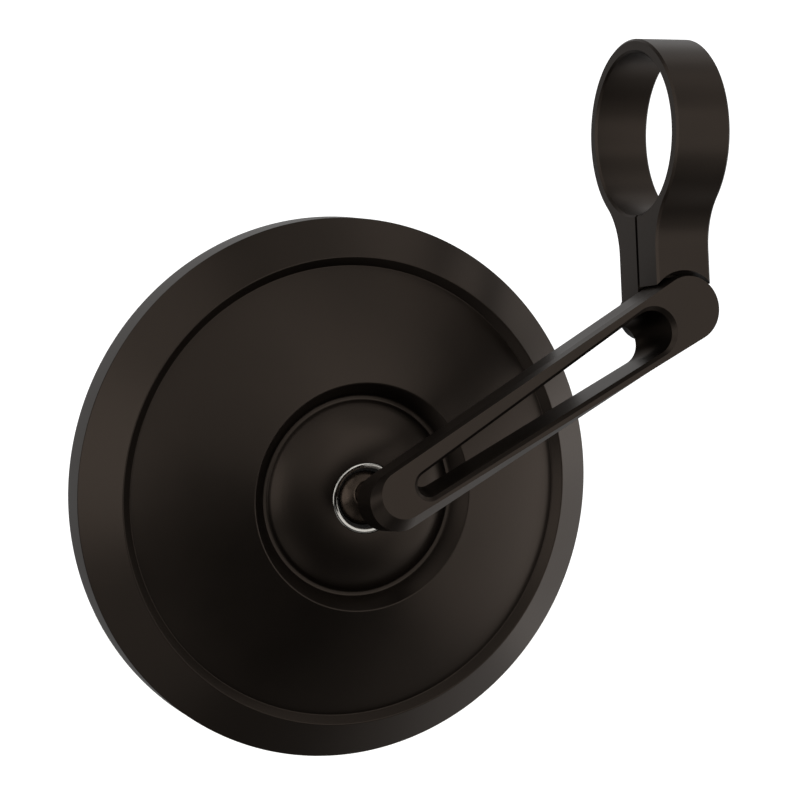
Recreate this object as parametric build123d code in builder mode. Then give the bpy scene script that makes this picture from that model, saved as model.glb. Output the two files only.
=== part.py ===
"""Motorcycle bar end mirror: split bar clamp, slotted arm, ball joint and round turned mirror head.

Millimetres. Origin at the centre of the clamp's bore, +X along the handlebar, +Z up, glass towards +Y.
"""
import os
from math import cos, radians, sin, sqrt

from build123d import *

# Bar clamp
bar_diameter = 22.2
ring_wall = 1.8
ring_width = 8.1
ring_edge = 0.3
neck_depth = 11.2
neck_blend = 9.0
slit_width = 0.6
pivot_drop = 24.4

# Clamp screw across the slit
clamp_screw_drop = 15.2
clamp_screw_radius = 1.5
clamp_head_radius = 2.75
clamp_head_height = 3.0
clamp_head_gap = 0.15
clamp_thread_depth = 4.0
clamp_hex = 2.5
clamp_hex_depth = 1.4

# Arm
arm_length = 48.1
arm_angle = 28.65
arm_thickness = 6.65
arm_end_radius = 4.57
arm_tip_radius = 3.92
arm_tip_reach = 1.0
arm_tip_drop = 0.43
arm_edge = 0.45
arm_bevel_depth = 1.7
arm_bevel_narrow = 0.15
arm_bevel_wide = 1.35
arm_gap = 0.73
slot_edge = 0.45
slot_start = 6.3
slot_start_radius = 3.05
slot_start_lean = 3.1
slot_start_taper = 0.3
slot_finish_inset = 3.2
slot_finish_radius = 1.65
slot_finish_lean = 2.1
slot_finish_drop = 0.59

# Arm pivot
pivot_screw_radius = 2.0
pivot_thread_depth = 4.6
pivot_washer_radius = 3.9
pivot_washer_thickness = 0.55
pivot_head_radius = 3.6
pivot_head_height = 2.2
pivot_hex = 2.5
pivot_hex_depth = 1.3
spring_washer_radius = 3.7
spring_washer_thickness = 0.45
spring_washer_rise = 0.2

# Ball stud
ball_reach = 12.25
ball_radius = 5.0
stud_neck_radius = 1.75
stud_flange_radius = 2.9
stud_flange_thickness = 1.6
stud_thread_radius = 2.0
stud_thread_depth = 3.8

# Mirror head, radii and heights above the rim's glass edge
head_tilt = 7.3
rim_radius = 37.1
rim_height = 4.85
rim_edge = 0.25
rim_wall = 1.6
rim_bevel_width = 5.15
crest_height = 8.55
step_width = 1.2
cone_foot_height = 7.65
cone_crown = 0.3
pocket_radius = 15.4
pocket_top = 13.65
pocket_floor_radius = 13.6
pocket_floor = 11.55
pocket_land = 0.55
dome_edge_rise = 0.4
dome_edge_run = 0.2
dome_crown = 0.35
mouth_rise = 4.25

# Ball socket
liner_clearance = 0.1
liner_thickness = 0.6
front_liner_angles = (46.0, 76.0)
rear_liner_angles = (112.0, 150.0)
cup_seat_angle = 70.0
pressure_seat_angle = 135.0
cup_wall = 1.75
socket_clearance = 0.05
cup_lip_width = 0.73
cup_shoulder_rise = 0.75
cup_shoulder_width = 0.4
cup_gap = 0.4
pressure_seat_drop = 2.65
pressure_floor = 0.465
pressure_hole_radius = 2.6
spring_seat_width = 0.9
spring_side_gap = 0.35
spring_space = 0.7
spring_thickness = 0.4
plate_margin = 2.0
plate_gap = 0.1
plate_thickness = 1.2
plate_hole_radius = 2.0
plate_screw_inset = 2.4
plate_screw_count = 3
plate_screw_radius = 1.0
plate_screw_head_radius = 1.9
plate_screw_length = 4.6
plate_screw_hex = 1.3
plate_screw_hex_depth = 0.6

# Glass
glass_thickness = 1.8
glass_recess = 0.3
glass_edge = 0.3
glass_side_gap = 0.2
pad_margin = 0.5
pad_thickness = 0.5

# Small fits
screw_clearance = 0.05

# Socket stack, from the glass up to the mouth of the dome
liner_outer = ball_radius + liner_clearance + liner_thickness
seat_radius = liner_outer + liner_clearance
glass_seat = glass_recess + glass_thickness + pad_thickness
plate_top = glass_seat + plate_gap + plate_thickness
pressure_foot = plate_top + spring_space
ball_height = pressure_foot + pressure_floor + sqrt(seat_radius**2 - pressure_hole_radius**2)
pressure_top = ball_height - pressure_seat_drop
cup_foot_height = pressure_top + cup_gap
cup_shoulder_height = ball_height + cup_shoulder_rise
mouth_height = ball_height + mouth_rise

# Radii of the head, from the rim inwards and from the socket outwards
glass_radius = rim_radius - rim_wall - glass_side_gap
crest_radius = rim_radius - rim_bevel_width
cone_foot_radius = crest_radius - step_width
cup_radius = seat_radius + cup_wall
socket_bore_radius = cup_radius + socket_clearance
spring_outer_radius = cup_radius - spring_side_gap
spring_inner_radius = pressure_hole_radius + spring_seat_width
plate_screw_circle = socket_bore_radius + plate_screw_inset
plate_radius = plate_screw_circle + plate_margin

bore_radius = bar_diameter / 2
ring_radius = bore_radius + ring_wall
lug_face = slit_width / 2
lug_back = neck_depth / 2
arm_back = lug_face - pivot_washer_thickness
pivot_point = Vector(0, 0, -pivot_drop)
arm_direction = Vector(-cos(radians(arm_angle)), 0, -sin(radians(arm_angle)))
tip_point = pivot_point + arm_direction * arm_length
ball_centre = Vector(tip_point.X, arm_back + ball_reach, tip_point.Z)
head_normal = Vector(0, -cos(radians(head_tilt)), -sin(radians(head_tilt)))
rim_centre = ball_centre - head_normal * ball_height
head_axis = Axis(rim_centre, head_normal)
pivot_axis = Axis(pivot_point, (0, 1, 0))
stud_axis = Axis(ball_centre, (0, -1, 0))

# Section planes: local x is the radius, local y runs along the turned axis
head_section = Plane(rim_centre, x_dir=(1, 0, 0), z_dir=Vector(1, 0, 0).cross(head_normal))
pivot_section = Plane(pivot_point, x_dir=(1, 0, 0), z_dir=(0, 0, 1))
stud_section = Plane(ball_centre, x_dir=(1, 0, 0), z_dir=(0, 0, -1))
arm_back_plane = Plane((0, arm_back, -pivot_drop), x_dir=arm_direction, z_dir=(0, -1, 0))


def crown(start, finish, rise):
    """Point on a shallow arc, raised from the middle of a chord to its left."""
    run_x = finish[0] - start[0]
    run_y = finish[1] - start[1]
    length = sqrt(run_x**2 + run_y**2)
    middle_x = (start[0] + finish[0]) / 2
    middle_y = (start[1] + finish[1]) / 2
    return (middle_x - rise * run_y / length, middle_y + rise * run_x / length)


def shell_point(radius, angle):
    """Radius and height of a point on a sphere about the ball, by its angle from the head's axis."""
    return (radius * sin(radians(angle)), ball_height + radius * cos(radians(angle)))


# Clamp: ring and neck from one profile along the bar, pivot lug at the foot of the rear leg
with BuildPart() as clamp_ring:
    with BuildSketch(Plane.YZ.offset(-ring_width / 2)) as clamp_profile:
        Circle(ring_radius)
        with Locations((0, -pivot_drop / 2)):
            Rectangle(neck_depth, pivot_drop)
        neck_corners = clamp_profile.vertices().filter_by(lambda v: -ring_radius < v.Y < 0)
        fillet(neck_corners, neck_blend)
    extrude(amount=ring_width)
    with BuildSketch(Plane.YZ.offset(-ring_width / 2)):
        Circle(bore_radius)
    extrude(amount=ring_width, mode=Mode.SUBTRACT)
    side_faces = clamp_ring.faces().filter_by(Axis.X).sort_by(Axis.X)
    chamfer(side_faces[0].edges() + side_faces[-1].edges(), ring_edge)
    # Round lug end, edge broken like the neck's
    with BuildSketch(pivot_section):
        with BuildLine():
            Polyline(
                (0, 0),
                (ring_width / 2, 0),
                (ring_width / 2, lug_back - ring_edge),
                (ring_width / 2 - ring_edge, lug_back),
                (0, lug_back),
                close=True,
            )
        make_face()
    revolve(axis=pivot_axis)
    # Hollow arc of the front leg, clear of the arm's round end
    with BuildSketch(Plane((0, lug_face, -pivot_drop), x_dir=(1, 0, 0), z_dir=(0, -1, 0))):
        Circle(arm_end_radius + arm_gap)
    extrude(amount=neck_depth, mode=Mode.SUBTRACT)
    # Slit from the bore down through the neck
    with BuildSketch(Plane.YZ.offset(-ring_width / 2)):
        with Locations((0, -pivot_drop / 2 - bore_radius / 2)):
            Rectangle(slit_width, pivot_drop)
    extrude(amount=ring_width, mode=Mode.SUBTRACT)
    # Pivot hole through the lug, clamp screw hole and its counterbore
    with Locations(Plane((0, lug_back, -pivot_drop), x_dir=(1, 0, 0), z_dir=(0, 1, 0))):
        Hole(pivot_screw_radius + screw_clearance, depth=neck_depth / 2)
    with Locations(Plane((0, lug_back, -clamp_screw_drop), x_dir=(1, 0, 0), z_dir=(0, 1, 0))):
        CounterBoreHole(
            clamp_screw_radius + screw_clearance,
            clamp_head_radius + clamp_head_gap,
            clamp_head_height,
            depth=lug_back + lug_face + clamp_thread_depth,
        )

# Clamp screw: cap head sunk in the rear leg, thread in the front leg
clamp_head_plane = Plane((0, lug_back, -clamp_screw_drop), x_dir=(1, 0, 0), z_dir=(0, 1, 0))
clamp_head_seat = clamp_head_plane.offset(-clamp_head_height)
with BuildPart() as clamp_screw:
    with BuildSketch(clamp_head_seat):
        Circle(clamp_head_radius)
    extrude(amount=clamp_head_height)
    chamfer(clamp_screw.faces().sort_by(Axis.Y)[-1].edges(), ring_edge)
    with BuildSketch(clamp_head_seat):
        Circle(clamp_screw_radius)
    extrude(amount=-(lug_back - clamp_head_height + lug_face + clamp_thread_depth - ring_edge))
    with BuildSketch(clamp_head_plane):
        RegularPolygon(clamp_hex / 2, 6, major_radius=False)
    extrude(amount=-clamp_hex_depth, mode=Mode.SUBTRACT)

# Friction washer between lug and arm
with BuildPart() as pivot_washer:
    with BuildSketch(Plane((0, arm_back, -pivot_drop), x_dir=(1, 0, 0), z_dir=(0, 1, 0))):
        Circle(pivot_washer_radius)
        Circle(pivot_screw_radius + screw_clearance, mode=Mode.SUBTRACT)
    extrude(amount=pivot_washer_thickness)

# Conical washer, outer edge on the lug, inner edge under the screw's head
washer_hole = pivot_screw_radius + screw_clearance
washer_top = lug_back + spring_washer_rise + spring_washer_thickness
with BuildPart() as spring_washer:
    with BuildSketch(pivot_section):
        with BuildLine():
            Polyline(
                (spring_washer_radius, lug_back),
                (spring_washer_radius, lug_back + spring_washer_thickness),
                (washer_hole, washer_top),
                (washer_hole, washer_top - spring_washer_thickness),
                close=True,
            )
        make_face()
    revolve(axis=pivot_axis)

# Pivot screw, domed head on the lug's back, thread in the arm
with BuildPart() as pivot_screw:
    head_top = washer_top + pivot_head_height
    head_side = washer_top + pivot_head_height / 3
    with BuildSketch(pivot_section):
        with BuildLine():
            Polyline(
                (pivot_hex, head_top),
                (0, head_top),
                (0, arm_back - pivot_thread_depth + ring_edge),
                (pivot_screw_radius, arm_back - pivot_thread_depth + ring_edge),
                (pivot_screw_radius, washer_top),
                (pivot_head_radius, washer_top),
                (pivot_head_radius, head_side),
            )
            head_rim = (pivot_head_radius, head_side)
            head_crown = (pivot_hex, head_top)
            ThreePointArc(head_rim, crown(head_rim, head_crown, -ring_edge), head_crown)
        make_face()
    revolve(axis=pivot_axis)
    with BuildSketch(Plane((0, head_top, -pivot_drop), x_dir=(1, 0, 0), z_dir=(0, 1, 0))):
        RegularPolygon(pivot_hex / 2, 6, major_radius=False)
    extrude(amount=-pivot_hex_depth, mode=Mode.SUBTRACT)


def bar_outline(height, narrow, wide):
    """Arm's outline at a height above its back, drawn in all round and further at the tip and lower side."""
    shift = (wide - narrow) / 2
    with BuildSketch(arm_back_plane.offset(height)) as outline:
        Circle(arm_end_radius - narrow)
        with Locations((arm_length + arm_tip_reach - shift, arm_tip_drop - shift)):
            Circle(arm_tip_radius - narrow - shift)
        make_hull()
    return outline.sketch


def slot_outline(height, margin):
    """Slot's outline at a height above the arm's back, where its leaning ends have come apart that far."""
    lean = 1 - height / arm_thickness
    finish = arm_length - slot_finish_inset - slot_finish_lean * lean
    with BuildSketch(arm_back_plane.offset(height)) as outline:
        with Locations((slot_start + slot_start_lean * lean, 0)):
            Circle(slot_start_radius - slot_start_taper * lean + margin)
        with Locations((finish, slot_finish_drop * (1 - lean))):
            Circle(slot_finish_radius + margin)
        make_hull()
    return outline.sketch


# Arm: flat bar between two round ends, its front bevelled widest at the tip and along the lower edge
with BuildPart() as arm:
    bevel_foot = arm_thickness - arm_bevel_depth
    extrude(bar_outline(0, 0, 0), amount=bevel_foot)
    chamfer(arm.faces().sort_by(Axis.Y)[-1].edges(), arm_edge)
    front_outline = bar_outline(arm_thickness, arm_bevel_narrow, arm_bevel_wide)
    loft([bar_outline(bevel_foot, 0, 0), front_outline])
    # Slot whose end walls lean in, to leave metal for the blind threads
    loft([slot_outline(0, 0), slot_outline(arm_thickness, 0)], mode=Mode.SUBTRACT)
    # Broken edges of the slot, front and back, by cutters that taper on inside it
    front_inner = slot_outline(arm_thickness - 2 * slot_edge, -slot_edge)
    loft([front_inner, slot_outline(arm_thickness, slot_edge)], mode=Mode.SUBTRACT)
    loft([slot_outline(0, slot_edge), slot_outline(2 * slot_edge, -slot_edge)], mode=Mode.SUBTRACT)
    with Locations(Plane((0, arm_back, -pivot_drop), x_dir=(1, 0, 0), z_dir=(0, 1, 0))):
        Hole(pivot_screw_radius + screw_clearance, depth=pivot_thread_depth)
    with Locations(Plane((tip_point.X, arm_back, tip_point.Z), x_dir=(1, 0, 0), z_dir=(0, 1, 0))):
        Hole(stud_thread_radius + screw_clearance, depth=stud_thread_depth)

# Ball stud: ball, neck, flange on the arm's back and thread, in one turned piece
with BuildPart() as ball_stud:
    neck_start = sqrt(ball_radius**2 - stud_neck_radius**2)
    flange_top = ball_reach - stud_flange_thickness
    thread_end = ball_reach + stud_thread_depth - ring_edge
    with BuildSketch(stud_section):
        with BuildLine():
            ThreePointArc((0, -ball_radius), (ball_radius, 0), (stud_neck_radius, neck_start))
            Polyline(
                (stud_neck_radius, neck_start),
                (stud_neck_radius, flange_top),
                (stud_flange_radius, flange_top),
                (stud_flange_radius, ball_reach),
                (stud_thread_radius, ball_reach),
                (stud_thread_radius, thread_end),
                (0, thread_end),
                (0, -ball_radius),
            )
        make_face()
    revolve(axis=stud_axis)

# Housing, turned: rim, bevel, step, crowned cone, pocket and dome outside; glass seat and socket bore inside
lip_inner = sqrt(seat_radius**2 - mouth_rise**2)
lip_outer = lip_inner + cup_lip_width
mouth_radius = lip_outer + socket_clearance
shoulder_inner = socket_bore_radius - cup_shoulder_width
dome_edge = (pocket_floor_radius - pocket_land - dome_edge_run, pocket_floor + dome_edge_rise)
dome_mouth = (mouth_radius, mouth_height)
cone_foot = (cone_foot_radius, cone_foot_height)
cone_top = (pocket_radius, pocket_top)
with BuildPart() as mirror_housing:
    with BuildSketch(head_section):
        with BuildLine():
            Polyline(
                dome_mouth,
                (shoulder_inner + socket_clearance, cup_shoulder_height),
                (socket_bore_radius, cup_shoulder_height),
                (socket_bore_radius, plate_top),
                (plate_radius + screw_clearance, plate_top),
                (plate_radius + screw_clearance, glass_seat),
                (glass_radius + glass_side_gap, glass_seat),
                (glass_radius + glass_side_gap, 0),
                (rim_radius - rim_edge, 0),
                (rim_radius, rim_edge),
                (rim_radius, rim_height),
                (crest_radius, crest_height),
                cone_foot,
            )
            ThreePointArc(cone_foot, crown(cone_foot, cone_top, -cone_crown), cone_top)
            Polyline(
                cone_top,
                (pocket_floor_radius, pocket_floor),
                (pocket_floor_radius - pocket_land, pocket_floor),
                dome_edge,
            )
            ThreePointArc(dome_edge, crown(dome_edge, dome_mouth, -dome_crown), dome_mouth)
        make_face()
    revolve(axis=head_axis)
    with BuildSketch(Plane(head_section.origin + head_normal * plate_top, x_dir=(1, 0, 0), z_dir=head_normal)):
        with PolarLocations(plate_screw_circle, plate_screw_count):
            Circle(plate_screw_radius + screw_clearance)
    extrude(amount=plate_screw_length - plate_thickness + ring_edge, mode=Mode.SUBTRACT)

# Socket cup: steel cup round the ball, its lip flush in the dome's mouth
with BuildPart() as socket_cup:
    with BuildSketch(head_section):
        with BuildLine():
            seat_mouth = (lip_inner, mouth_height)
            seat_middle = shell_point(seat_radius, cup_seat_angle)
            seat_widest = (seat_radius, ball_height)
            ThreePointArc(seat_mouth, seat_middle, seat_widest)
            Polyline(
                seat_widest,
                (seat_radius, cup_foot_height),
                (cup_radius, cup_foot_height),
                (cup_radius, cup_shoulder_height),
                (shoulder_inner, cup_shoulder_height),
                (lip_outer, mouth_height),
                seat_mouth,
            )
        make_face()
    revolve(axis=head_axis)


def liner_profile(angles):
    """Section of a spherical liner between two angles from the head's axis."""
    inner_radius = ball_radius + liner_clearance
    first, last = angles
    middle = (first + last) / 2
    with BuildSketch(head_section) as profile:
        with BuildLine():
            inner_start = shell_point(inner_radius, first)
            inner_end = shell_point(inner_radius, last)
            outer_start = shell_point(liner_outer, first)
            outer_end = shell_point(liner_outer, last)
            ThreePointArc(inner_start, shell_point(inner_radius, middle), inner_end)
            Line(inner_end, outer_end)
            ThreePointArc(outer_end, shell_point(liner_outer, middle), outer_start)
            Line(outer_start, inner_start)
        make_face()
    return profile.sketch


# Liners: plastic bearing rings in front of and behind the ball's middle
with BuildPart() as front_liner:
    revolve(liner_profile(front_liner_angles), axis=head_axis)

with BuildPart() as rear_liner:
    revolve(liner_profile(rear_liner_angles), axis=head_axis)

# Pressure ring with a hollow round seat for the rear liner
with BuildPart() as pressure_ring:
    seat_top = (sqrt(seat_radius**2 - pressure_seat_drop**2), pressure_top)
    seat_foot = (pressure_hole_radius, pressure_foot + pressure_floor)
    with BuildSketch(head_section):
        with BuildLine():
            ThreePointArc(seat_top, shell_point(seat_radius, pressure_seat_angle), seat_foot)
            Polyline(
                seat_foot,
                (pressure_hole_radius, pressure_foot),
                (cup_radius, pressure_foot),
                (cup_radius, pressure_top),
                seat_top,
            )
        make_face()
    revolve(axis=head_axis)

# Disc spring between retainer plate and pressure ring
with BuildPart() as disc_spring:
    with BuildSketch(head_section):
        with BuildLine():
            Polyline(
                (spring_outer_radius, plate_top),
                (spring_outer_radius, plate_top + spring_thickness),
                (spring_inner_radius, pressure_foot),
                (spring_inner_radius, pressure_foot - spring_thickness),
                close=True,
            )
        make_face()
    revolve(axis=head_axis)

# Retainer plate and its countersunk screws
plate_face = Plane(rim_centre + head_normal * (plate_top - plate_thickness), x_dir=(1, 0, 0), z_dir=head_normal)
plate_outside = Plane(plate_face.origin, x_dir=(1, 0, 0), z_dir=-head_normal)
with BuildPart() as retainer_plate:
    with BuildSketch(plate_face):
        Circle(plate_radius)
        Circle(plate_hole_radius, mode=Mode.SUBTRACT)
    extrude(amount=plate_thickness)
    with Locations(plate_outside):
        with PolarLocations(plate_screw_circle, plate_screw_count):
            CounterSinkHole(plate_screw_radius + screw_clearance, plate_screw_head_radius + screw_clearance)

with BuildPart() as plate_screws:
    with Locations(plate_face):
        with PolarLocations(plate_screw_circle, plate_screw_count):
            Cylinder(plate_screw_radius, plate_screw_length, align=(Align.CENTER, Align.CENTER, Align.MIN))
            Cone(
                plate_screw_head_radius,
                plate_screw_radius,
                plate_screw_head_radius - plate_screw_radius,
                align=(Align.CENTER, Align.CENTER, Align.MIN),
            )
    with BuildSketch(plate_face):
        with PolarLocations(plate_screw_circle, plate_screw_count):
            RegularPolygon(plate_screw_hex / 2, 6, major_radius=False)
    extrude(amount=plate_screw_hex_depth, mode=Mode.SUBTRACT)

# Adhesive pad and mirror glass in the housing's seat
pad_plane = Plane(rim_centre + head_normal * glass_seat, x_dir=(1, 0, 0), z_dir=-head_normal)
with BuildPart() as backing_pad:
    with BuildSketch(pad_plane):
        Circle(glass_radius - pad_margin)
    extrude(amount=pad_thickness)

with BuildPart() as mirror_glass:
    with BuildSketch(pad_plane.offset(pad_thickness)):
        Circle(glass_radius)
    extrude(amount=glass_thickness)
    chamfer(mirror_glass.edges().filter_by(GeomType.CIRCLE), glass_edge)

pieces = {
    "clamp_ring": clamp_ring,
    "clamp_screw": clamp_screw,
    "pivot_washer": pivot_washer,
    "spring_washer": spring_washer,
    "pivot_screw": pivot_screw,
    "arm": arm,
    "ball_stud": ball_stud,
    "mirror_housing": mirror_housing,
    "socket_cup": socket_cup,
    "front_liner": front_liner,
    "rear_liner": rear_liner,
    "pressure_ring": pressure_ring,
    "disc_spring": disc_spring,
    "retainer_plate": retainer_plate,
    "plate_screws": plate_screws,
    "backing_pad": backing_pad,
    "mirror_glass": mirror_glass,
}
os.makedirs("parts", exist_ok=True)
for node, piece in pieces.items():
    piece.part.label = node
    export_step(piece.part, f"parts/{node}.step")
    print(node, round(piece.part.volume, 2))
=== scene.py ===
# Motorcycle bar end mirror in satin black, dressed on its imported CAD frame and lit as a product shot
from math import cos, pi, radians, sin, tan

import bmesh
import bpy
import numpy as np
from mathutils import Matrix, Vector


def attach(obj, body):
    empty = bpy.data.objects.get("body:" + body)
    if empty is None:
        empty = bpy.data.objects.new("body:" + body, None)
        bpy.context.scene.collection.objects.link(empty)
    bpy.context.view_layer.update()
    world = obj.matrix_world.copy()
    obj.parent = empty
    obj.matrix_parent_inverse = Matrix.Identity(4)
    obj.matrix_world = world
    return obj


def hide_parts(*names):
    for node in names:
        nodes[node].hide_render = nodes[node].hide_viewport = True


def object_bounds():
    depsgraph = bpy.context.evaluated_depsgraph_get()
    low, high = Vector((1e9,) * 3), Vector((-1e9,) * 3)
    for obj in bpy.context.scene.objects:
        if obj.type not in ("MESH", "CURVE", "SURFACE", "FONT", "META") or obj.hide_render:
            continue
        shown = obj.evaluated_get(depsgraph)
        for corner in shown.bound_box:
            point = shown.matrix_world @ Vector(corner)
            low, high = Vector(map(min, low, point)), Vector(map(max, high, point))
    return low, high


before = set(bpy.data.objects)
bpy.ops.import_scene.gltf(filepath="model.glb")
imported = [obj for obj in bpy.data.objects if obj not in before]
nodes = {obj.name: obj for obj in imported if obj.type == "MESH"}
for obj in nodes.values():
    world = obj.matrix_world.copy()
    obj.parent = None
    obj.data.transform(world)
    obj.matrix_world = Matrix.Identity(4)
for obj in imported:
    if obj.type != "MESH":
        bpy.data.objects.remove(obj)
cadLow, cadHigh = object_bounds()
scene = bpy.context.scene
print("frame loaded:", len(nodes), "nodes")

mm = 0.001
perMetre = 1000  # Object coordinates are in metres, pattern sizes in mm

# Where the CAD puts the ball and how the head leans on it, in mm and degrees
headPlace = dict(ball=(-42.2109, 12.0, -47.4619), lean=7.3, ballHeight=10.25)
ballCentre = np.array(headPlace["ball"])
headNormal = np.array([0, -cos(radians(headPlace["lean"])), -sin(radians(headPlace["lean"]))])
rimCentre = ballCentre - headNormal * headPlace["ballHeight"]
studNormal = np.array([0.0, -1.0, 0.0])
acrossAxis = np.array([1.0, 0.0, 0.0])  # at right angles to both turning axes


def srgb(hexText):
    # sRGB hex to linear: the usual two-part curve
    c = np.array([int(hexText[i:i + 2], 16) for i in (1, 3, 5)]) / 255
    lin = np.where(c <= 0.04045, c / 12.92, ((c + 0.055) / 1.055) ** 2.4)
    return (float(lin[0]), float(lin[1]), float(lin[2]), 1.0)


def addNode(tree, kind, inputs=None, **settings):
    # one node with its settings; an input is a value or another node's output
    node = tree.nodes.new(kind)
    for key, value in settings.items():
        setattr(node, key, value)
    for key, value in (inputs or {}).items():
        if isinstance(value, bpy.types.NodeSocket):
            tree.links.new(value, node.inputs[key])
        else:
            node.inputs[key].default_value = value
    return node


def newMaterial(name):
    # an empty shader, and the Object coordinates that its patterns are drawn on
    mat = bpy.data.materials.new(name)
    mat.use_nodes = True
    tree = mat.node_tree
    tree.nodes.clear()
    out = addNode(tree, "ShaderNodeOutputMaterial")
    bsdf = addNode(tree, "ShaderNodeBsdfPrincipled")
    tree.links.new(bsdf.outputs[0], out.inputs[0])
    place = addNode(tree, "ShaderNodeTexCoord").outputs["Object"]
    return mat, tree, bsdf, place


# Materials: sizes in mm; spread is the part of a noise's range that is stretched over the roughness

# Aluminium, turned or milled, bead blasted and dyed black in the anodising bath.
# The eye gets a deep brown-black with a wide soft sheen, a fine grain and faint tool lines.
anodised = dict(dark="#3a342f", light="#423a34", roughness=(0.32, 0.37), spread=(0.3, 0.7), cloud=14.0,
                grain=0.35, grainDepth=0.004, lineWidth=0.45, lineDepth=0.0025)
armSlope = 28.65  # degrees that the arm hangs below level


def blackAnodised(name, lineCoord):
    # lineCoord(tree, place) gives the number, in mm, across which the tool lines repeat
    mat, tree, bsdf, place = newMaterial(name)
    cloud = addNode(tree, "ShaderNodeTexNoise",
                    {"Vector": place, "Scale": perMetre / anodised["cloud"], "Detail": 3.0})
    rough = addNode(tree, "ShaderNodeMapRange",
                    {"Value": cloud.outputs["Fac"],
                     "From Min": anodised["spread"][0], "From Max": anodised["spread"][1],
                     "To Min": anodised["roughness"][0], "To Max": anodised["roughness"][1]})
    shade = addNode(tree, "ShaderNodeMix",
                    {0: cloud.outputs["Fac"], 6: srgb(anodised["dark"]), 7: srgb(anodised["light"])},
                    data_type="RGBA")
    # bead-blast grit is about 0.1 mm; drawn three times as coarse so that it shows
    grain = addNode(tree, "ShaderNodeTexNoise",
                    {"Vector": place, "Scale": perMetre / anodised["grain"], "Detail": 2.0})
    grainBump = addNode(tree, "ShaderNodeBump",
                        {"Height": grain.outputs["Fac"], "Strength": 1.0,
                         "Distance": anodised["grainDepth"] * mm})
    across = addNode(tree, "ShaderNodeMath", {0: lineCoord(tree, place), 1: 1 / anodised["lineWidth"]},
                     operation="MULTIPLY")
    lines = addNode(tree, "ShaderNodeTexNoise", {"W": across.outputs[0], "Scale": 1.0, "Detail": 2.0},
                    noise_dimensions="1D")
    lineBump = addNode(tree, "ShaderNodeBump",
                       {"Height": lines.outputs["Fac"], "Strength": 1.0,
                        "Distance": anodised["lineDepth"] * mm, "Normal": grainBump.outputs[0]})
    bsdf.inputs["Metallic"].default_value = 1.0
    tree.links.new(shade.outputs[2], bsdf.inputs["Base Color"])
    tree.links.new(rough.outputs[0], bsdf.inputs["Roughness"])
    tree.links.new(lineBump.outputs[0], bsdf.inputs["Normal"])
    return mat


def turnCoord(tree, place):
    # along the turned profile, stored on the piece in mm
    return addNode(tree, "ShaderNodeAttribute", attribute_name="turn").outputs["Fac"]


def armCoord(tree, place):
    # across the arm: the milling lines run along it
    turned = addNode(tree, "ShaderNodeMapping",
                     {"Vector": place, "Rotation": (0, radians(armSlope), 0), "Scale": (perMetre,) * 3})
    parts = addNode(tree, "ShaderNodeSeparateXYZ", {0: turned.outputs[0]})
    return parts.outputs["Z"]


def barCoord(tree, place):
    # along the handlebar: the ring's lines run round it
    parts = addNode(tree, "ShaderNodeSeparateXYZ", {0: place})
    scaled = addNode(tree, "ShaderNodeMath", {0: parts.outputs["X"], 1: perMetre}, operation="MULTIPLY")
    return scaled.outputs[0]


# Bearing steel, turned and polished: bright, with faint patches from the tool and the cloth
polished = dict(colour="#e6e2da", roughness=(0.08, 0.16), spread=(0.35, 0.65), patch=0.3)
# The ball: the same steel with a softer shine; its brown-dark colour is painted reflection of the dark housing
# round it
ballPaintedReflection = dict(colour="#4c423a", roughness=(0.26, 0.34), spread=(0.35, 0.65), patch=0.3)


def bearingSteel(name, finish):
    mat, tree, bsdf, place = newMaterial(name)
    patch = addNode(tree, "ShaderNodeTexNoise",
                    {"Vector": place, "Scale": perMetre / finish["patch"], "Detail": 2.0})
    rough = addNode(tree, "ShaderNodeMapRange",
                    {"Value": patch.outputs["Fac"],
                     "From Min": finish["spread"][0], "From Max": finish["spread"][1],
                     "To Min": finish["roughness"][0], "To Max": finish["roughness"][1]})
    bsdf.inputs["Base Color"].default_value = srgb(finish["colour"])
    bsdf.inputs["Metallic"].default_value = 1.0
    tree.links.new(rough.outputs[0], bsdf.inputs["Roughness"])
    return mat


# Black oxide steel: a thin matt conversion layer, oiled, with worn patches that shine a little
oxide = dict(dark="#1d1c1d", worn="#4b4845", wear=(0.5, 0.8), roughness=(0.32, 0.5), patch=1.6)


def blackOxide(name):
    mat, tree, bsdf, place = newMaterial(name)
    patch = addNode(tree, "ShaderNodeTexNoise",
                    {"Vector": place, "Scale": perMetre / oxide["patch"], "Detail": 4.0})
    worn = addNode(tree, "ShaderNodeMapRange",
                   {"Value": patch.outputs["Fac"],
                    "From Min": oxide["wear"][0], "From Max": oxide["wear"][1]})
    shade = addNode(tree, "ShaderNodeMix",
                    {0: worn.outputs[0], 6: srgb(oxide["dark"]), 7: srgb(oxide["worn"])}, data_type="RGBA")
    rough = addNode(tree, "ShaderNodeMapRange",
                    {"Value": patch.outputs["Fac"],
                     "To Min": oxide["roughness"][1], "To Max": oxide["roughness"][0]})
    bsdf.inputs["Metallic"].default_value = 1.0
    tree.links.new(shade.outputs[2], bsdf.inputs["Base Color"])
    tree.links.new(rough.outputs[0], bsdf.inputs["Roughness"])
    return mat


# Acetal, moulded: dull black with a waxy skin
acetal = dict(dark="#141414", light="#1e1d1c", roughness=(0.38, 0.5), skin=0.6, ior=1.48)


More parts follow.
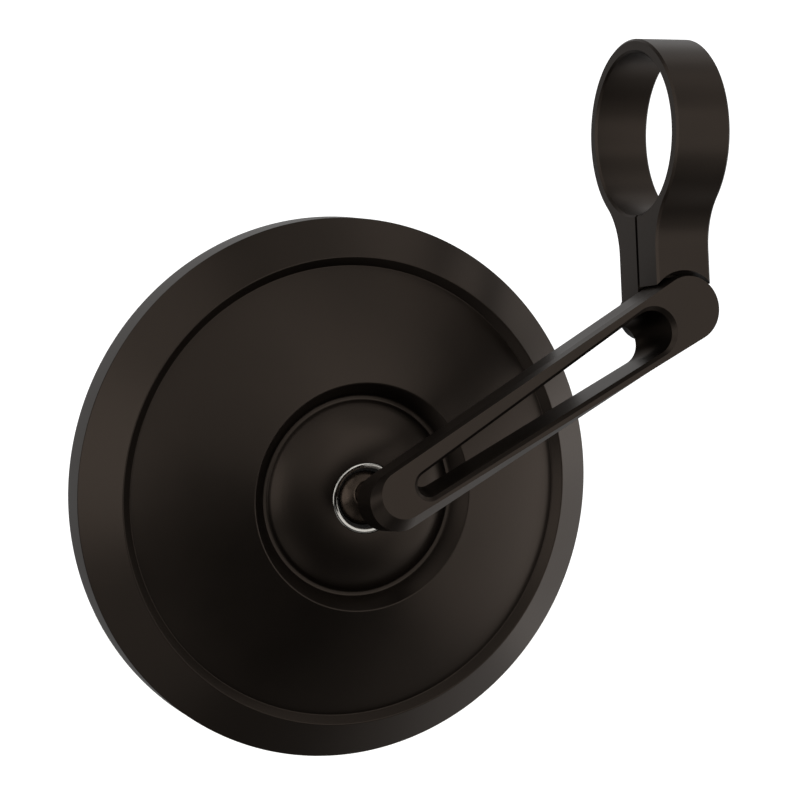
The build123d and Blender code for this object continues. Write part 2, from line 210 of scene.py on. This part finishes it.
def blackAcetal(name):
    mat, tree, bsdf, place = newMaterial(name)
    skin = addNode(tree, "ShaderNodeTexNoise",
                   {"Vector": place, "Scale": perMetre / acetal["skin"], "Detail": 3.0})
    shade = addNode(tree, "ShaderNodeMix",
                    {0: skin.outputs["Fac"], 6: srgb(acetal["dark"]), 7: srgb(acetal["light"])},
                    data_type="RGBA")
    rough = addNode(tree, "ShaderNodeMapRange",
                    {"Value": skin.outputs["Fac"],
                     "To Min": acetal["roughness"][0], "To Max": acetal["roughness"][1]})
    bsdf.inputs["IOR"].default_value = acetal["ior"]
    tree.links.new(shade.outputs[2], bsdf.inputs["Base Color"])
    tree.links.new(rough.outputs[0], bsdf.inputs["Roughness"])
    return mat


# Silvered float glass: a clean mirror with the faintest green-grey and a trace of haze
silvered = dict(colour="#dfe5e4", haze=(0.01, 0.035), spread=(0.4, 0.75), smear=22.0)


def silveredGlass(name):
    mat, tree, bsdf, place = newMaterial(name)
    smear = addNode(tree, "ShaderNodeTexNoise",
                    {"Vector": place, "Scale": perMetre / silvered["smear"], "Detail": 4.0})
    rough = addNode(tree, "ShaderNodeMapRange",
                    {"Value": smear.outputs["Fac"],
                     "From Min": silvered["spread"][0], "From Max": silvered["spread"][1],
                     "To Min": silvered["haze"][0], "To Max": silvered["haze"][1]})
    bsdf.inputs["Base Color"].default_value = srgb(silvered["colour"])
    bsdf.inputs["Metallic"].default_value = 1.0
    tree.links.new(rough.outputs[0], bsdf.inputs["Roughness"])
    return mat


# Closed-cell foam tape behind the glass: matt and pitted, with painted shade darkening the bottoms of the pits
foam = dict(dark="#1b1b1c", light="#2c2c2d", cell=0.5, pitDepth=0.05, roughness=0.9)


def foamTape(name):
    mat, tree, bsdf, place = newMaterial(name)
    cells = addNode(tree, "ShaderNodeTexVoronoi", {"Vector": place, "Scale": perMetre / foam["cell"]})
    # darker towards each cell's middle, where the bump is lowest: painted shade in the pits
    shade = addNode(tree, "ShaderNodeMix",
                    {0: cells.outputs["Distance"], 6: srgb(foam["dark"]), 7: srgb(foam["light"])},
                    data_type="RGBA")
    bump = addNode(tree, "ShaderNodeBump",
                   {"Height": cells.outputs["Distance"], "Strength": 0.5, "Distance": foam["pitDepth"] * mm})
    bsdf.inputs["Roughness"].default_value = foam["roughness"]
    tree.links.new(shade.outputs[2], bsdf.inputs["Base Color"])
    tree.links.new(bump.outputs[0], bsdf.inputs["Normal"])
    return mat


headBlack = blackAnodised("blackAnodisedTurned", turnCoord)
armBlack = blackAnodised("blackAnodisedMilled", armCoord)
clampBlack = blackAnodised("blackAnodisedRing", barCoord)
steelBright = bearingSteel("polishedBearingSteel", polished)
# the ball's brown-dark steel: painted reflection of the dark housing
steelPaintedBrown = bearingSteel("ballSteelPaintedReflection", ballPaintedReflection)
steelBlack = blackOxide("blackOxideSteel")
linerBlack = blackAcetal("blackAcetal")
glassSilver = silveredGlass("silveredFloatGlass")
padFoam = foamTape("foamTape")
print("materials ready")


# Turned pieces

def arcThrough(start, finish, rise, count):
    # inner points of a shallow arc: chord plus a parabola of that rise, to the left of the chord
    a = np.array(start, float)
    b = np.array(finish, float)
    t = np.linspace(0, 1, count)[1:-1, None]
    side = np.array([-(b - a)[1], (b - a)[0]]) / np.hypot(*(b - a))
    return a + t * (b - a) + 4 * rise * t * (1 - t) * side


def roundCorners(corners, steps=5, hold=0.06):
    # corners are (point, radius) pairs: each becomes a tangent arc of that radius, turned from first to last
    # by equal angles, with one holding point on either side that keeps the flats flat; radius 0 stays sharp
    points = [np.array(point, float) for point, radius in corners]
    radii = [radius for point, radius in corners]
    t = np.linspace(0, 1, steps)[:, None]
    rows = []
    for i, corner in enumerate(points):
        if radii[i] == 0:
            rows.append(corner[None])
            continue
        before = points[i - 1] - corner
        after = points[(i + 1) % len(points)] - corner
        u = before / np.linalg.norm(before)
        v = after / np.linalg.norm(after)
        half = 0.5 * np.arccos(np.clip(u @ v, -1, 1))
        back = radii[i] / tan(half)
        centre = corner + (u + v) / np.linalg.norm(u + v) * radii[i] / sin(half)
        first = corner + u * back - centre
        last = corner + v * back - centre
        turn = pi - 2 * half
        arc = (np.sin((1 - t) * turn) * first + np.sin(t * turn) * last) / sin(turn)
        rows.append(np.vstack([corner + u * (back + hold), centre + arc, corner + v * (back + hold)]))
    return np.vstack(rows)


def turnedPiece(name, profile, segments, material, body, centre=rimCentre, normal=headNormal, closed=True):
    # (radius, height) profile carried round an axis: centre + r (across cos a + up sin a) + h normal.
    # A closed profile makes a ring; an open one starts and ends on the axis, where its points become one pole.
    count = len(profile)
    a = np.linspace(0, 2 * pi, segments, endpoint=False)
    ring = np.cos(a)[:, None] * acrossAxis + np.sin(a)[:, None] * np.cross(normal, acrossAxis)
    points = centre + profile[None, :, :1] * ring[:, None, :] + profile[None, :, 1:] * normal
    i = np.arange(segments)[:, None]
    j = np.arange(count if closed else count - 1)[None, :]
    here = i * count
    there = (i + 1) % segments * count
    nextJ = (j + 1) % count
    quads = np.stack([here + j, there + j, there + nextJ, here + nextJ], axis=-1).reshape(-1, 4)
    radius, height = profile.T
    # the quads face outwards when the profile runs anticlockwise, which is when its area is positive
    area = np.sum(radius * np.roll(height, -1) - np.roll(radius, -1) * height)
    if area < 0:
        quads = quads[:, ::-1]
    mesh = bpy.data.meshes.new(name)
    mesh.from_pydata((points.reshape(-1, 3) * mm).tolist(), [], quads.tolist())
    step = np.linalg.norm(np.diff(profile, axis=0, append=profile[:1]), axis=1)
    along = np.concatenate([[0], np.cumsum(step)[:-1]])
    turn = mesh.attributes.new("turn", "FLOAT", "POINT")
    turn.data.foreach_set("value", np.tile(along, segments).astype(np.float32))
    if not closed:
        work = bmesh.new()
        work.from_mesh(mesh)
        bmesh.ops.remove_doubles(work, verts=work.verts, dist=1e-7)
        work.to_mesh(mesh)
        work.free()
    mesh.shade_smooth()
    mesh.materials.append(material)
    piece = bpy.data.objects.new(name, mesh)
    scene.collection.objects.link(piece)
    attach(piece, body)
    return piece


# Housing: rim wall, bevel, step, crowned cone, pocket and dome, and the seats inside.
# Places are (radius, height) in mm from the rim's glass edge; each edge's rounding stands beside its corner.
housing = dict(rim=37.1, rimHeight=4.85, crest=(31.95, 8.55), coneFoot=(30.75, 7.65), coneTop=(15.4, 13.65),
               coneCrown=0.3, pocketFloor=(13.6, 11.55), land=0.55, domeEdge=(12.6, 11.95), domeCrown=0.6,
               mouth=(4.727, 14.5), shoulder=(7.25, 11.0), bore=7.6, plateSeat=(12.05, 3.9),
               glassSeat=(35.5, 2.6), conePoints=15, domePoints=13, segments=320)
h = housing
cone = arcThrough(h["coneFoot"], h["coneTop"], -h["coneCrown"], h["conePoints"])
dome = arcThrough(h["domeEdge"], h["mouth"], -h["domeCrown"], h["domePoints"])
corners = [
    (h["shoulder"], 0),
    ((h["bore"], h["shoulder"][1]), 0),
    ((h["bore"], h["plateSeat"][1]), 0),
    (h["plateSeat"], 0),
    ((h["plateSeat"][0], h["glassSeat"][1]), 0),
    (h["glassSeat"], 0.15),
    ((h["glassSeat"][0], 0), 0.25),
    ((h["rim"], 0), 0.3),
    ((h["rim"], h["rimHeight"]), 0.22),
    (h["crest"], 0.15),
    (h["coneFoot"], 0.12),
    *[(point, 0) for point in cone],
    (h["coneTop"], 0.22),
    (h["pocketFloor"], 0.3),
    ((h["pocketFloor"][0] - h["land"], h["pocketFloor"][1]), 0.4),
    (h["domeEdge"], 2.0),
    *[(point, 0) for point in dome],
    (h["mouth"], 0.05),
]
mirrorHousing = turnedPiece("mirrorHousing", roundCorners(corners), h["segments"], headBlack, "head")
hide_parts("mirror_housing")
print("housing turned")

# Socket cup: seat round the ball inside, shoulder in the housing, and a rolled lip in the dome's mouth
cup = dict(seat=5.8, mouth=14.5, foot=8.0, wall=7.55, shoulder=(7.2, 11.0), lip=4.677, seatPoints=13,
           segments=160)
lipAngle = np.arccos((cup["mouth"] - headPlace["ballHeight"]) / cup["seat"])
t = np.linspace(pi / 2, lipAngle, cup["seatPoints"])
seat = np.stack([cup["seat"] * np.sin(t), headPlace["ballHeight"] + cup["seat"] * np.cos(t)], axis=-1)
corners = [
    ((cup["seat"], cup["foot"]), 0.1),
    *[(point, 0) for point in seat[:-1]],
    (seat[-1], 0.12),
    ((cup["lip"], cup["mouth"]), 0.35),
    (cup["shoulder"], 0.1),
    ((cup["wall"], cup["shoulder"][1]), 0.1),
    ((cup["wall"], cup["foot"]), 0.1),
]
socketCup = turnedPiece("socketCup", roundCorners(corners), cup["segments"], steelBright, "head")
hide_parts("socket_cup")

# Ball stud: ball, neck, flange behind the arm and the threaded end inside it, in mm from the ball's centre
stud = dict(ball=5.0, neck=1.75, flange=2.9, flangeTop=10.65, armBack=12.25, thread=(2.0, 15.6), ballPoints=41,
            segments=160)
t = np.linspace(pi, np.arcsin(stud["neck"] / stud["ball"]), stud["ballPoints"])
ball = np.stack([stud["ball"] * np.sin(t), stud["ball"] * np.cos(t)], axis=-1)
corners = [
    ((0, -stud["ball"]), 0),
    *[(point, 0) for point in ball[1:-1]],
    (ball[-1], 0.3),
    ((stud["neck"], stud["flangeTop"]), 0.6),
    ((stud["flange"], stud["flangeTop"]), 0.3),
    ((stud["flange"], stud["armBack"]), 0.05),
    ((stud["thread"][0], stud["armBack"]), 0.05),
    (stud["thread"], 0.2),
    ((0, stud["thread"][1]), 0),
]
ballStud = turnedPiece("ballStud", roundCorners(corners), stud["segments"], steelPaintedBrown, "arm",
                       ballCentre, studNormal, closed=False)
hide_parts("ball_stud")
print("socket and ball turned")

# CAD nodes that keep their shape
for node, material in {
    "clamp_ring": clampBlack, "arm": armBlack, "disc_spring": steelBright, "clamp_screw": steelBlack,
    "pivot_screw": steelBlack, "spring_washer": steelBlack, "retainer_plate": steelBlack,
    "plate_screws": steelBlack, "pivot_washer": linerBlack, "front_liner": linerBlack,
    "rear_liner": linerBlack, "pressure_ring": linerBlack, "backing_pad": padFoam, "mirror_glass": glassSilver,
}.items():
    nodes[node].material_slots[0].material = material
print("materials assigned")

# Pale floor, below the lowest swing of the head: a disc whose rings lie closer towards its middle, in mm
board = dict(drop=30.0, radius=900.0, rings=12, sides=96, colour="#f2f1ef", roughness=(0.75, 0.9), cloud=120)


def paleFloor(name):
    # matt painted board, with a trace of unevenness
    mat, tree, bsdf, place = newMaterial(name)
    cloud = addNode(tree, "ShaderNodeTexNoise",
                    {"Vector": place, "Scale": perMetre / board["cloud"], "Detail": 2.0})
    rough = addNode(tree, "ShaderNodeMapRange",
                    {"Value": cloud.outputs["Fac"],
                     "To Min": board["roughness"][0], "To Max": board["roughness"][1]})
    bsdf.inputs["Base Color"].default_value = srgb(board["colour"])
    tree.links.new(rough.outputs[0], bsdf.inputs["Roughness"])
    return mat


sides = board["sides"]
a = np.linspace(0, 2 * pi, sides, endpoint=False)
r = np.linspace(0, 1, board["rings"] + 1)[1:, None] ** 2 * board["radius"]
floorZ = np.full((board["rings"], sides), cadLow.z / mm - board["drop"])
disc = np.stack([r * np.cos(a), r * np.sin(a), floorZ], axis=-1).reshape(-1, 3)
inner = np.arange(board["rings"] - 1)[:, None] * sides
outer = inner + sides
j = np.arange(sides)[None, :]
nextJ = (j + 1) % sides
ringQuads = np.stack([inner + j, outer + j, outer + nextJ, inner + nextJ], axis=-1).reshape(-1, 4)
floorMesh = bpy.data.meshes.new("paleFloor")
floorMesh.from_pydata((disc * mm).tolist(), [], ringQuads.tolist() + [list(range(sides))])
floorMesh.materials.append(paleFloor("mattPaintedBoard"))
floor = bpy.data.objects.new("paleFloor", floorMesh)
scene.collection.objects.link(floor)
floor.visible_glossy = False

# White studio. What the polished and satin faces mirror is dim in front, so that the soft boxes draw their
# sheen, and a pale wall behind, brighter towards its top, which the glass shows. The wall's depth and height
# are parts of the direction along +Y and +Z.
studio = dict(white=1.25, front=0.055, wall=(0.25, 0.5), wallDepth=(0.1, 0.8), wallHeight=(-0.3, 0.6))
world = bpy.data.worlds.new("whiteStudio")
world.use_nodes = True
tree = world.node_tree
tree.nodes.clear()
out = addNode(tree, "ShaderNodeOutputWorld")
direction = addNode(tree, "ShaderNodeTexCoord").outputs["Generated"]
axes = addNode(tree, "ShaderNodeSeparateXYZ", {0: direction})
rise = addNode(tree, "ShaderNodeMapRange",
               {"Value": axes.outputs["Z"],
                "From Min": studio["wallHeight"][0], "From Max": studio["wallHeight"][1],
                "To Min": studio["wall"][0], "To Max": studio["wall"][1]})
wall = addNode(tree, "ShaderNodeMapRange",
               {"Value": axes.outputs["Y"],
                "From Min": studio["wallDepth"][0], "From Max": studio["wallDepth"][1],
                "To Min": studio["front"], "To Max": rise.outputs[0]},
               interpolation_type="SMOOTHSTEP")
mirrored = addNode(tree, "ShaderNodeLightPath").outputs["Is Glossy Ray"]
strength = addNode(tree, "ShaderNodeMapRange",
                   {"Value": mirrored, "To Min": studio["white"], "To Max": wall.outputs[0]})
sky = addNode(tree, "ShaderNodeBackground", {"Color": (1, 1, 1, 1), "Strength": strength.outputs[0]})
tree.links.new(sky.outputs[0], out.inputs[0])
scene.world = world


def towardsFrom(azimuth, elevation):
    # direction by degrees round from the front and up from level: (sin az cos el, -cos az cos el, sin el)
    az = radians(azimuth)
    el = radians(elevation)
    return Vector((sin(az) * cos(el), -cos(az) * cos(el), sin(el)))


# Soft boxes: round, all aimed at one point, by azimuth and elevation in degrees, size in mm, power in W
softBoxes = dict(aim=(-25, 8, -40), distance=700)
lights = [
    dict(name="leftSide", azimuth=-95, elevation=0, size=320, power=0.15),
    dict(name="left", azimuth=-60, elevation=0, size=620, power=0.95),
    dict(name="leftHigh", azimuth=-60, elevation=45, size=620, power=0.65),
    dict(name="leftLow", azimuth=-70, elevation=-50, size=620, power=0.3),
    dict(name="rightTop", azimuth=85, elevation=15, size=620, power=0.6),
    dict(name="rightBottom", azimuth=97, elevation=-12, size=620, power=0.8),
    dict(name="rightHigh", azimuth=80, elevation=45, size=620, power=0.4),
    dict(name="rightFront", azimuth=60, elevation=-20, size=620, power=0.55),
    dict(name="rightBehindLow", azimuth=118, elevation=-40, size=420, power=0.2),
    dict(name="rightLow", azimuth=95, elevation=-50, size=620, power=0.15),
    dict(name="roof", azimuth=140, elevation=65, size=620, power=0.4),
    dict(name="frontHigh", azimuth=25, elevation=42, size=720, power=0.48),
    dict(name="frontRight", azimuth=25, elevation=0, size=620, power=0.62),
    dict(name="front", azimuth=-10, elevation=15, size=620, power=0.4),
    dict(name="below", azimuth=70, elevation=-75, size=620, power=0.1),
]
for light in lights:
    data = bpy.data.lights.new(light["name"], "AREA")
    data.shape = "DISK"
    data.size = light["size"] * mm
    data.energy = light["power"]
    box = bpy.data.objects.new(light["name"], data)
    towards = towardsFrom(light["azimuth"], light["elevation"])
    box.location = (Vector(softBoxes["aim"]) + towards * softBoxes["distance"]) * mm
    box.rotation_mode = "QUATERNION"
    box.rotation_quaternion = towards.to_track_quat("Z", "Y")
    box.visible_camera = False
    scene.collection.objects.link(box)
print("stage set")

# Camera: angles in degrees, distance and side steps in mm, focal length in pixels of the 800 pixel frame
view = dict(azimuth=-22.34, elevation=-0.91, roll=-2.42, distance=373.05, right=35.44, up=36.46,
            focal=2721.08, frame=800, sensor=36)
back = towardsFrom(view["azimuth"], view["elevation"])
level = Vector((cos(radians(view["azimuth"])), sin(radians(view["azimuth"])), 0))
upright = back.cross(level)
roll = radians(view["roll"])
right = level * cos(roll) + upright * sin(roll)
up = upright * cos(roll) - level * sin(roll)
camData = bpy.data.cameras.new("photoView")
camData.sensor_width = view["sensor"]
camData.lens = view["sensor"] * view["focal"] / view["frame"]
camData.clip_start = 0.01
camera = bpy.data.objects.new("photoView", camData)
spot = (back * view["distance"] - right * view["right"] - up * view["up"]) * mm
camera.matrix_world = Matrix.Translation(spot) @ Matrix((right, up, back)).transposed().to_4x4()
scene.collection.objects.link(camera)
scene.camera = camera
scene.view_settings.view_transform = "Standard"
print("camera set")
